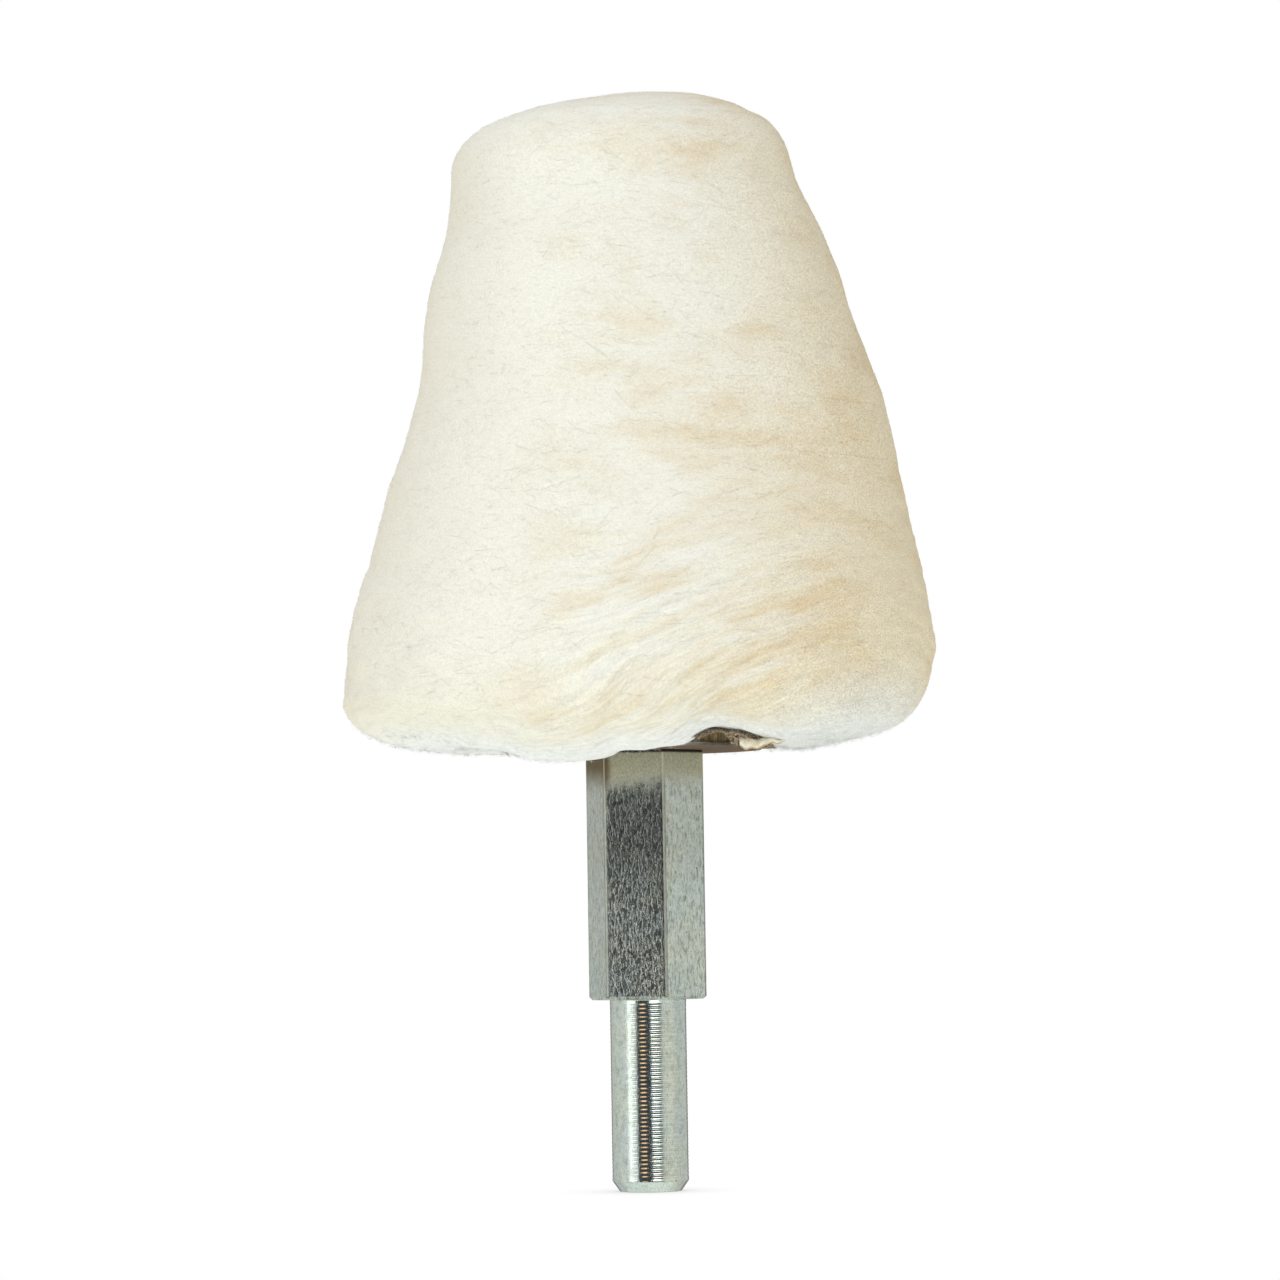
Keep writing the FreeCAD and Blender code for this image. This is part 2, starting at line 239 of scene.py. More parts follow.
class Value:
    """What a node gives out. Sums with numbers or other values become further nodes."""

    def __init__(self, nodes, socket):
        self.nodes = nodes
        self.socket = socket

    def __add__(self, other):
        return self.nodes.math("ADD", self, other)

    def __sub__(self, other):
        return self.nodes.math("SUBTRACT", self, other)

    def __rsub__(self, other):
        return self.nodes.math("SUBTRACT", other, self)

    def __mul__(self, other):
        return self.nodes.math("MULTIPLY", self, other)

    def between(self, low, high, to_low=0, to_high=1, kind="SMOOTHSTEP"):
        """This value's way from low to high, as a smooth change from to_low to to_high."""
        return self.nodes.add("ShaderNodeMapRange", {
            "Value": self, "From Min": low, "From Max": high, "To Min": to_low, "To Max": to_high,
        }, interpolation_type=kind)

    def dot(self, axis):
        return self.nodes.vector("DOT_PRODUCT", self, tuple(axis), output="Value")

    def axis(self, name):
        return self.nodes.add("ShaderNodeSeparateXYZ", {"Vector": self}, name)

    def noise(self, scale, detail, roughness, distortion=0):
        """Noise from 0 to 1 at this place. The scale is in waves a millimetre, for each axis or
        for all."""
        if isinstance(scale, tuple):
            return self.nodes.vector("MULTIPLY", self, scale).noise(1, detail, roughness, distortion)
        return self.nodes.add("ShaderNodeTexNoise", {
            "Vector": self, "Scale": scale, "Detail": detail, "Roughness": roughness,
            "Distortion": distortion,
        }, "Fac")

    def mix(self, first, second):
        """The first colour where this value is 0 and the second where it is 1."""
        return self.nodes.mix(self, first, second, "MIX")

    def tinted(self, tint):
        return self.nodes.mix(1, self, tint, "MULTIPLY")

    def bump(self, distance, strength, **normal):
        inputs = {"Height": self, "Distance": distance * MM, "Strength": strength, **normal}
        return self.nodes.add("ShaderNodeBump", inputs, "Normal")


class Nodes:
    """A node tree under construction. An input is a plain value or a Value from another node."""

    def __init__(self, tree, material=None):
        self.tree = tree
        self.material = material
        tree.nodes.clear()

    def set(self, socket, given):
        if isinstance(given, Value):
            self.tree.links.new(given.socket, socket)
        else:
            socket.default_value = given

    def add(self, kind, inputs=None, output=0, **settings):
        made = self.tree.nodes.new(kind)
        for key, setting in settings.items():
            setattr(made, key, setting)
        for key, given in (inputs or {}).items():
            self.set(made.inputs[key], given)
        return Value(self, made.outputs[output])

    def math(self, operation, *given, clamp=False):
        inputs = dict(enumerate(given))
        return self.add("ShaderNodeMath", inputs, operation=operation, use_clamp=clamp)

    def vector(self, operation, *given, output=0):
        return self.add("ShaderNodeVectorMath", dict(enumerate(given)), output, operation=operation)

    def mix(self, factor, first, second, blend):
        inputs = {0: factor, 6: first, 7: second}
        settings = {"data_type": "RGBA", "blend_type": blend, "clamp_factor": True}
        return self.add("ShaderNodeMix", inputs, 2, **settings)

    def mark(self, name, output="Fac"):
        """A value kept on the mesh's points."""
        return self.add("ShaderNodeAttribute", None, output, attribute_name=name)

    def place(self):
        """The point's place in the part's own frame, in millimetres."""
        place = self.add("ShaderNodeTexCoord", None, "Object")
        return self.vector("MULTIPLY", place, (1 / MM, 1 / MM, 1 / MM))

    def ramp(self, factor, stops):
        made = self.tree.nodes.new("ShaderNodeValToRGB")
        self.set(made.inputs["Fac"], factor)
        elements = made.color_ramp.elements
        while len(elements) < len(stops):
            elements.new(0.5)
        for element, (position, color) in zip(elements, stops):
            element.position = position
            element.color = color
        return Value(self, made.outputs["Color"])

    def finish(self, kind, surface):
        """The tree's output node."""
        self.set(self.tree.nodes.new(kind).inputs["Surface"], surface)


def rgb(red, green, blue):
    return (red, green, blue, 1)


def new_material(name):
    material = bpy.data.materials.new(name)
    material.use_nodes = True
    return Nodes(material.node_tree, material)


def finish_material(nodes, **inputs):
    """Adds the surface shader. Its inputs are written with underscores for spaces."""
    inputs = {key.replace("_", " "): given for key, given in inputs.items()}
    nodes.finish("ShaderNodeOutputMaterial", nodes.add("ShaderNodeBsdfPrincipled", inputs))
    return nodes.material


# ---- materials ----

CREAM = rgb(0.862, 0.836, 0.694)
WHITE_FLUFF = rgb(0.865, 0.89, 0.88)
TAN = rgb(0.765, 0.65, 0.437)
PALE_AND_LIT_STRAND = rgb(0.87, 0.87, 0.80)
# Tints of painted shade: for the side away from the lamp, on the nap and on the fluff, and for the
# edge that faces left.
SHADE_SIDE = rgb(0.95, 0.875, 0.755)
SHADE_FLUFF = rgb(0.855, 0.865, 0.87)
LEFT_EDGE_SHADE = rgb(0.92, 0.90, 0.88)
# Dark and light browns of dirt and painted shade for the notch's recess.
SOIL_AND_SHADE_DARK = rgb(0.04, 0.028, 0.016)
SOIL_AND_SHADE_LIGHT = rgb(0.88, 0.67, 0.42)
NAP_SOFTNESS = 9


def cotton_material():
    """Brushed unbleached cotton: cream, with faint tan patches drawn out along the nap.

    The marks are the coat's: lie is a place across, near and up the nap, and the others say how
    combed, fluffy, warm, or dirty and painted shaded it is there, how light its fibre is, and which
    way it faces."""
    nodes = new_material("cotton_nap")
    lie, facing = nodes.mark("lie", "Vector"), nodes.mark("facing", "Vector")
    names = ("shade", "soil_and_shade", "fluff", "warmth", "combed")
    shade, soil_and_shade, fluff, warmth, combed = (nodes.mark(name) for name in names)
    cloud = lie.noise((0.05, 0.05, 0.10), 4, 0.6)
    streak = lie.noise((0.15, 0.15, 0.52), 4, 0.62)
    strand = lie.noise((0.13, 0.13, 0.42), 3, 0.55)
    hair = lie.noise((0.28, 0.28, 1.9), 3, 0.6).between(0.34, 0.66, -1, 1)
    tufts = (lie.noise((0.9, 0.9, 1.3), 4, 0.65, 0.6) - 0.5) * fluff
    curl = lie.noise((4.2, 4.2, 5.4), 2, 0.6, 0.2)
    dirt = lie.noise(3.4, 3, 0.65)

    # Tan patches on the warm side, and tan and pale strands where the foot is combed. The tan partings
    # are partly the cotton's tan and partly painted shade between the strands, and the pale strands
    # partly painted light on them.
    patch = cloud.between(0.42, 0.66) * streak.between(0.30, 0.70, 0.25, 1) * (warmth * 0.80 + 0.06)
    tan_and_shaded_parting = combed * strand.between(0.48, 0.66, 0, 0.38)
    color = nodes.math("ADD", patch, tan_and_shaded_parting, clamp=True).mix(CREAM, TAN)
    color = (combed * strand.between(0.46, 0.34, 0, 0.50)).mix(color, PALE_AND_LIT_STRAND)
    color = fluff.mix(color, WHITE_FLUFF)

    # Painted shade: the side away from the lamp is painted browner, and the edge that faces left a
    # little greyer.
    shaded = lie.axis("X").between(2, 25)
    color = shaded.mix(color, color.tinted(fluff.mix(SHADE_SIDE, SHADE_FLUFF)))
    leftward = facing.dot(-RIGHT).between(0.45, 1)
    color = leftward.mix(color, color.tinted(LEFT_EDGE_SHADE))

    # The fine light and dark of single fibres.
    grain = (curl - 0.5) * (shaded * 0.74 + 0.45) + (tufts * 0.35 + 1) + combed * hair * 0.05
    color = color.tinted(grain * (shade + 1))

    # Matted dirt and painted shade in the notch: its recess is painted a dark, mottled brown.
    dirt_and_shade = (soil_and_shade + (dirt * 1.2 - 0.6)).between(0.35, 0.6) * soil_and_shade.between(0, 0.2)
    color = dirt_and_shade.mix(color, dirt.between(0.42, 0.58).mix(SOIL_AND_SHADE_DARK, SOIL_AND_SHADE_LIGHT))

    # A fibre takes most of its shading from the coat that it lies on, as soft raised cotton does.
    own = nodes.add("ShaderNodeNewGeometry", None, "Normal")
    scaled = {0: facing, "Scale": NAP_SOFTNESS}
    soft = nodes.add("ShaderNodeVectorMath", scaled, operation="SCALE")
    normal = nodes.vector("NORMALIZE", nodes.vector("ADD", own, soft))
    height = tufts * 2.5 + (streak * 0.5 + curl)
    return finish_material(
        nodes, Base_Color=color, Roughness=0.95, Specular_IOR_Level=0, Sheen_Weight=0.06,
        Sheen_Roughness=0.6, Normal=height.bump(0.05, 0.10, Normal=normal),
    )


def zinc_material(name, hexagon=None):
    """Bright zinc plate: short crinkled scratches, a faint yellow cast and small dull flecks. Where
    given, the hexagon's lowest and highest height place its wear, its film with a painted brown
    reflection on the left, a painted black shadow under the washer, and painted highlights and shade
    along its corners."""
    nodes = new_material(name)
    place = nodes.place()
    upward = place.axis("Z")
    scratch = place.noise((3.6, 3.6, 1.1), 3, 0.62, 0.5)
    fine = place.noise((8, 8, 4), 3, 0.7, 0.8)
    mottle = place.noise(1.3, 4, 0.65)
    cloud = place.noise(0.22, 2, 0.5)
    fleck = place.noise(3.1, 2, 0.5).between(0.67, 0.76)
    lines = scratch.between(0.33, 0.52)
    color = cloud.between(0.35, 0.65).mix(rgb(0.78, 0.84, 0.83), rgb(0.84, 0.87, 0.79))
    color = mottle.between(0.42, 0.75).mix(color, rgb(0.60, 0.64, 0.57))
    glints = fine.between(0.38, 0.60).mix(rgb(0.80, 0.80, 0.78), rgb(1.08, 1.08, 1.08))
    color = color.tinted(glints)
    height = scratch.between(0.46, 0.56) * 0.55 + fine
    rough = mottle * 0.14 + 0.10
    metallic = 1
    if hexagon:
        low, top = hexagon
        # The turned end is scratched less than the drawn hexagon.
        depth = upward.between(low - 0.2, low + 0.2, 0.22, 1)
        lines = 1 - depth * (1 - lines)
        height = height * depth
        rough = mottle * 0.14 + (depth * 0.09 + 0.01)
    color = color.tinted(lines.mix(rgb(0.58, 0.58, 0.54), rgb(1, 1, 1)))
    color = fleck.mix(color, rgb(0.25, 0.24, 0.19))
    if hexagon:
        # The upper part of the hexagon is smoother and darker than the lower.
        worn = upward.between(top - 9.5, top - 17)
        height = height * (worn * 0.34 + 0.56)
        color = color.tinted(worn.mix(rgb(0.94, 0.94, 0.93), rgb(1.07, 1.09, 1.11)))
        # The cosine of six times the angle round the shank is one at the hexagon's corners.
        around = nodes.math("ARCTAN2", place.axis("Y"), place.axis("X"))
        cornered = nodes.math("COSINE", around * 6)
        on_hexagon = upward.between(low + 0.1, low + 0.4)
        # Painted highlight: a light line along each rounded corner, and beside it a dark line of
        # painted shade.
        corner_painted_highlight = on_hexagon * cornered.between(0.9930, 0.9985)
        corner_painted_shade = on_hexagon * cornered.between(0.955, 0.982)
        color = (corner_painted_shade * 0.55).mix(color, rgb(0.12, 0.12, 0.10))
        # A dull handled film on the hexagon just under the mop, painted dark brown on its left for the
        # brown that the metal mirrors there (painted reflection), and a painted black shadow where it
        # meets the washer.
        film = (cloud * 2 + (scratch * 0.5 + upward)).between(top - 3.8, top - 0.3)
        aside = place.dot(RIGHT).between(-3.2, -4)
        dull = fine.between(0.35, 0.65).mix(rgb(0.34, 0.335, 0.23), rgb(0.56, 0.56, 0.40))
        dull = aside.mix(dull, rgb(0.16, 0.12, 0.05))
        color = film.mix(color, dull)
        color = (corner_painted_highlight * 0.45).mix(color, rgb(0.80, 0.82, 0.74))
        # Painted shadow: a black band along the hexagon's top, where it meets the washer.
        color = upward.between(top - 0.42, top - 0.2).mix(color, rgb(0.02, 0.02, 0.018))
        metallic = film.between(0, 1, 1, 0.25, "LINEAR")
        # The hexagon's foot is burnished.
        foot = upward.between(low + 0.42, low + 0.26) * upward.between(low - 0.1, low)
        rough = rough + film * film * 0.42 + corner_painted_highlight * 0.30 + foot * 0.55
    bump = height.bump(0.020, 0.75)
    return finish_material(nodes, Base_Color=color, Metallic=metallic, Roughness=rough, Normal=bump)


def steel_material(name, color_a, color_b, roughness, underside_painted_shade=None):
    """Pressed or hardened steel with pits and, where given, a brown painted shade and reflection on
    the faces that look down.
    """
    nodes = new_material(name)
    place = nodes.place()
    mottle = place.noise(1.1, 5, 0.65)
    pits = place.noise(6, 3, 0.6)
    color = mottle.between(0.35, 0.7).mix(color_a, color_b)
    rough = pits * 0.25 + roughness
    metallic = 1
    if underside_painted_shade:
        facing = nodes.add("ShaderNodeNewGeometry", None, "Normal")
        # Painted shade and reflection: faces that look down are painted brown.
        underside_shade_mask = facing.axis("Z").between(-0.35, -0.8)
        color = underside_shade_mask.mix(color, underside_painted_shade)
        rough = underside_shade_mask * 0.3 + rough
        metallic = underside_shade_mask.between(0, 1, 1, 0.35)
    bump = pits.bump(0.02, 0.4)
    return finish_material(nodes, Base_Color=color, Metallic=metallic, Roughness=rough, Normal=bump)


def fibre_board_material():
    """Pressed brown fibre board with short strands up and down its edge."""
    nodes = new_material("fibre_board")
    place = nodes.place()
    strand = place.noise((3, 3, 0.8), 4, 0.65)
    mottle = place.noise(0.7, 3, 0.6)
    color = strand.between(0.32, 0.68).mix(rgb(0.12, 0.085, 0.045), rgb(0.44, 0.34, 0.19))
    color = mottle.between(0.45, 0.75).mix(color, rgb(0.30, 0.24, 0.13))
    return finish_material(
        nodes, Base_Color=color, Roughness=0.85, Specular_IOR_Level=0.25,
        Normal=strand.bump(0.06, 0.7),
    )


def torn_cloth_material():
    """The cut edge of a ply: woven cream threads, yellower than the nap."""
    nodes = new_material("torn_cloth")
    place = nodes.place()
    thread = nodes.add("ShaderNodeTexWave", {
        "Vector": place, "Scale": 1.3, "Distortion": 3, "Detail": 2, "Detail Scale": 2,
    }, "Fac", wave_type="BANDS", bands_direction="DIAGONAL")
    mottle = place.noise(2.2, 3, 0.6)
    color = mottle.between(0.4, 0.65).mix(rgb(0.90, 0.86, 0.72), rgb(0.80, 0.68, 0.47))
    # The flap's lower edge is painted brown, for dirt and for the shade under it.
    color = nodes.mark("soil_and_shade").mix(color, rgb(0.36, 0.22, 0.10))
    return finish_material(
        nodes, Base_Color=color, Roughness=0.9, Specular_IOR_Level=0.2, Sheen_Weight=0.2,
        Normal=thread.bump(0.05, 0.6),
    )


HEX_LOW = 20

COTTON = cotton_material()
ZINC = zinc_material("zinc_plate", (HEX_LOW, HEX_TOP))
SCREW_STEEL = zinc_material("screw_plate")
# The washers' faces that look down get a brown painted shade and reflection.
WASHER_STEEL = steel_material(
    "washer_steel", rgb(0.42, 0.43, 0.42), rgb(0.30, 0.30, 0.29), 0.28, rgb(0.15, 0.095, 0.055)
)
SPRING_STEEL = steel_material("spring_steel", rgb(0.20, 0.20, 0.21), rgb(0.12, 0.115, 0.11), 0.3)
FIBRE_BOARD = fibre_board_material()
TORN_CLOTH = torn_cloth_material()


# ---- shank ----

HEX_HALF_FLATS = node_box("drive_shank")[1][1]
HEX_CORNER = HEX_HALF_FLATS * 2 / math.sqrt(3)
HEX_SHARPNESS = 62
HEX_EDGE_RUN = 0.5
HEX_EDGE_RISE = 0.35
SHANK_RADIUS = 4
CHAMFER_RISE = 1.1
CHAMFER_RUN = 0.8
# Marks of the lathe: rings on the shank's foot and a helix up its round end.
FACING_FEED = 0.36
FACING_DEPTH = 0.024
FEED = 0.436
FEED_DEPTH = 0.03
HOLE_RADIUS = 3
HOLE_FLOOR = HEX_TOP - 16
HOLE_POINT = HOLE_RADIUS / math.tan(math.radians(59))
# Degrees from a corner of the hexagon at which the turned solid has a column of points.
CORNER_STEPS = np.array([0.4, 0.8, 1.2, 1.7, 2.4, 3.5, 5.5, 9, 13, 17.5, 22, 26])


def hexagon_radius(angles, half_flats, sharpness=HEX_SHARPNESS):
    """Radius of a hexagon with slightly rounded corners and a pair of flats square to Y."""
    total = np.zeros(len(angles))
    for side in range(6):
        across = np.cos(angles - math.radians(30 + 60 * side))
        total += np.maximum(across, 0) ** sharpness
    return half_flats / total ** (1 / sharpness)


def hexagon_angles():
    """Angles round the shank, closer together at the hexagon's corners."""
    sector = np.concatenate([-CORNER_STEPS[::-1], [0], CORNER_STEPS, [30]])
    return np.radians(np.concatenate([sector + 60 * side for side in range(6)]))


def shank_end_rings(turned):
    """The round end, from the centre of its foot up to the hexagon: a faced foot with a chamfer,
    then the helix that the lathe's feed left."""
    flat = SHANK_RADIUS - CHAMFER_RUN
    rings = [(None, 0.06), (0.35, 0), (0.9, 0)]
    for radius in np.arange(1.05, flat - 0.1, 0.12):
        rings.append((radius, FACING_DEPTH / 2 * (1 + math.cos(TURN * radius / FACING_FEED))))
    rings += [(flat - 0.05, 0), (flat + 0.04, 0.03)]
    rings += [(SHANK_RADIUS - 0.06, CHAMFER_RISE - 0.08), (SHANK_RADIUS - 0.01, CHAMFER_RISE)]
    first, last = CHAMFER_RISE + 0.08, HEX_LOW - 0.12
    for height in np.arange(first, last, FEED / 8):
        share = (height / FEED - turned) % 1
        depth = FEED_DEPTH * ease(first, first + 0.5, height) * fade(last - 0.5, last, height)
        rings.append((SHANK_RADIUS - depth * (1 - (2 * share - 1) ** 2), height))
    return rings + [(SHANK_RADIUS, HEX_LOW - 0.08), (SHANK_RADIUS + 0.08, HEX_LOW)]


def hexagon_rings(angles):
    """The hexagon from its foot, whose corners the lathe broke to a cone, to its upper face."""
    hexagon = hexagon_radius(angles, HEX_HALF_FLATS)
    rings = []
    for radius in np.linspace(SHANK_RADIUS + 0.3, HEX_CORNER - HEX_EDGE_RUN - 0.05, 5):
        rings.append((radius, HEX_LOW))
    for height in np.linspace(HEX_LOW + 0.02, HEX_LOW + HEX_EDGE_RISE + 0.06, 9):
        share = (height - HEX_LOW) / (2 * HEX_EDGE_RISE)
        cone = HEX_CORNER - HEX_EDGE_RUN + 2 * HEX_EDGE_RUN * share
        rings.append((np.minimum(hexagon, cone), height))
    waver = np.stack([np.cos(angles), np.sin(angles)], 1)
    for height in np.linspace(HEX_LOW + 0.9, HEX_TOP - 0.3, 46):
        at = np.column_stack([waver * 2.2, np.full(len(angles), height / 5)])
        rings.append((hexagon - 0.006 * (1 + lattice_noise(at, 3)), height))
    return rings + [(hexagon - 0.02, HEX_TOP - 0.12), (hexagon - 0.14, HEX_TOP)]


def make_shank():
    angles = hexagon_angles()
    rings = shank_end_rings((angles - FRONT) / TURN) + hexagon_rings(angles)
    rings += [(HOLE_RADIUS + 1, HEX_TOP), (HOLE_RADIUS + 0.35, HEX_TOP), (HOLE_RADIUS, HEX_TOP - 0.35)]
    rings += [(HOLE_RADIUS, height) for height in np.linspace(HEX_TOP - 1.5, HOLE_FLOOR, 8)]
    rings += [(HOLE_RADIUS / 2, HOLE_FLOOR - HOLE_POINT / 2), (None, HOLE_FLOOR - HOLE_POINT)]
    shank = lathe("drive_shank_turned", rings, angles, ZINC, "mop")
    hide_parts("drive_shank")


# ---- screw ----

THREAD_RADIUS = 2.95
THREAD_ROOT = THREAD_RADIUS - 0.8
THREAD_DEPTH = 0.55
THREADED = 24
PITCH = 1
KNURLS = 40
KNURL_DEPTH = 0.09
SOCKET_HALF_FLATS = 2.5
SOCKET_SHARPNESS = 60
SOCKET_DEPTH = 3


def make_screw():
    foot, (head, _, top) = node_box("clamp_screw")[0][2], node_box("clamp_screw")[1]
    seat = node_box("spring_washer")[1][2]
    floor = top - SOCKET_DEPTH
    angles = even_angles(120)
    knurl = KNURL_DEPTH * np.abs(np.sin(angles * KNURLS / 2))
    socket = hexagon_radius(angles, SOCKET_HALF_FLATS, SOCKET_SHARPNESS)
    rings = [(None, foot), (0.8, foot), (THREAD_ROOT, foot)]
    for height in np.arange(foot + 0.1, foot + THREADED, PITCH / 8):
        share = (height / PITCH - angles / TURN) % 1
        groove = THREAD_DEPTH * np.clip(1 - np.abs(2 * share - 1) * 1.15, 0, 1)
        rings.append((np.minimum(THREAD_RADIUS - groove, THREAD_ROOT + height - foot), height))
    rings += [(THREAD_RADIUS, foot + THREADED + 0.4), (THREAD_RADIUS, seat - 0.2)]
    rings += [(THREAD_RADIUS + 0.1, seat), (head - 0.3, seat), (head, seat + 0.3)]
    rings += [(head - knurl, height) for height in np.linspace(seat + 0.7, top - 1, 5)]
    rings += [(head, top - 0.7), (head - 0.06, top - 0.4), (head - 0.25, top - 0.12)]
    rings += [(head - 0.6, top), (3.3, top), (3.1, top), (socket, top - 0.25)]
    rings += [(socket, floor), (1.2, floor), (None, floor - 0.6)]
    screw = lathe("clamp_screw_turned", rings, angles, SCREW_STEEL, "screw")
    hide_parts("clamp_screw")


# ---- washers and discs ----

DISC_RIBS = 200
RIB_DEPTH = 0.10
BORE_RADIUS = 3.3


def make_base_disc():
    """The fibre disc whose crimped edge shows under the mop."""
    angles = even_angles(DISC_RIBS * 4)
    at = np.column_stack([np.cos(angles) * 9, np.sin(angles) * 9, np.zeros(len(angles))])
    crimp = RIB_DEPTH * (0.5 - 0.5 * np.cos(angles * DISC_RIBS)) + 0.05 * (1 + lattice_noise(at, 5))
    face = (BORE_RADIUS, 8, DISC_RADIUS - 0.5)
    rings = [(radius, DISC_LOW) for radius in face]
    for share in (0.04, 0.2, 0.4, 0.6, 0.8, 0.96):
        belly = 0.05 * (1 - (2 * share - 1) ** 2)
        height = DISC_LOW + share * (DISC_HIGH - DISC_LOW)
        rings.append((DISC_RADIUS - 0.06 - crimp + belly, height))
    rings += [(radius, DISC_HIGH) for radius in reversed(face)]
    disc = lathe("base_fibre_disc_crimped", rings, angles, FIBRE_BOARD, "mop", 60)
    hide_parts("base_fibre_disc")


def finish_cad_nodes():
    """The nodes that keep their CAD shape, with their finishes."""
    washers = {"base_washer": WASHER_STEEL, "top_washer": WASHER_STEEL, "spring_washer": SPRING_STEEL}
    for name, material in {**washers, "top_fibre_disc": FIBRE_BOARD}.items():
        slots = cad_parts[name].data.materials
        slots.clear()
        slots.append(material)


# ---- cotton ----

# Half of the mop's upright section, from where the cotton leaves the lower disc, round the goblet
# and down into the well over the screw: radius and height. It is scaled to the CAD's cotton.
OUTLINE = (
    (12.75, 47.3), (14.6, 46.4), (17.6, 46.1), (21, 46.45), (24.4, 47.15), (27.9, 48.25),
    (29.9, 50.1), (30.7, 52.6), (30.95, 55.6), (30.2, 60.8), (28.75, 67.1), (26.3, 76.6),
    (23.9, 86), (21.6, 95.5), (19.4, 101.8), (18.35, 105.5), (17.6, 109.3), (15.6, 111.8),
    (13.6, 112.85), (11.6, 113.65), (8.9, 114.4), (6.8, 114.85), (5.1, 114.9), (4.5, 114.3),
    (4.9, 113.3), (6.2, 112), (6.9, 109), (8.2, 102), (9.4, 94), (9.5, 91.6), (9.3, 89.3),
)
OUTLINE_RADIUS = 31
OUTLINE_LOW = 46.4
OUTLINE_TALL = 68.6
OUTLINE_RIM = (21, 46.45)
OUTLINE_CREST = (6.8, 114.85)
# The mop isn't quite round. It sways to the camera's right: at a height, over a spread, by so much.
SWAY = (
    (46.6, 0.9, -1.2), (49.2, 3, -1.5), (56, 2.5, -0.25), (61.5, 2.5, -0.2), (68, 6, 0.4),
    (82, 5, 1.2), (107.5, 4, -1.3), (110.5, 2, -0.2), (115.4, 1, 1.7),
)
# Rise of the hem under the front, by distance to the camera's right: a lip of fluff hangs over the
# hexagon's left side, and a gap to its right shows the washers.
HEM = (
    (-34, 0), (-27, 0.5), (-22, 0.55), (-17, -0.05), (-12.5, -0.65), (-9.5, -1.5), (-6.5, -1.6),
    (-4.2, -1.5), (-3, -1.3), (-1.9, -0.6), (-0.6, -0.45), (1.4, -0.5), (2.6, -0.25),
    (4.6, 0), (5.6, 0.5), (6.8, 1.2), (8.2, 1.75), (9.3, 2.15), (10.6, 1.8), (11.6, 1.45),
    (12.7, 1), (14.6, 0.5), (17, 0.1), (34, 0),
)
NOTCH_DEPTH = 0.84
# The hem is lower at the camera's right than at its left.
TILT = -0.2
TILT_REACH = 12
# How steeply the nap is combed up, and the distance between the ripples that the plies make.
LEAN = 0.72
PLY_RIPPLE = 1.18
ROW_STEP = 0.25
FINE_COLUMNS = 720


def hem_rise(aside):
    at, rise = zip(*HEM)
    fine_at = np.linspace(at[0], at[-1], 400)
    fine_rise = np.interp(fine_at, at, rise)
    fine_rise = np.convolve(np.pad(fine_rise, 3, "edge"), np.ones(7) / 7, "valid")
    return np.interp(aside, fine_at, fine_rise)


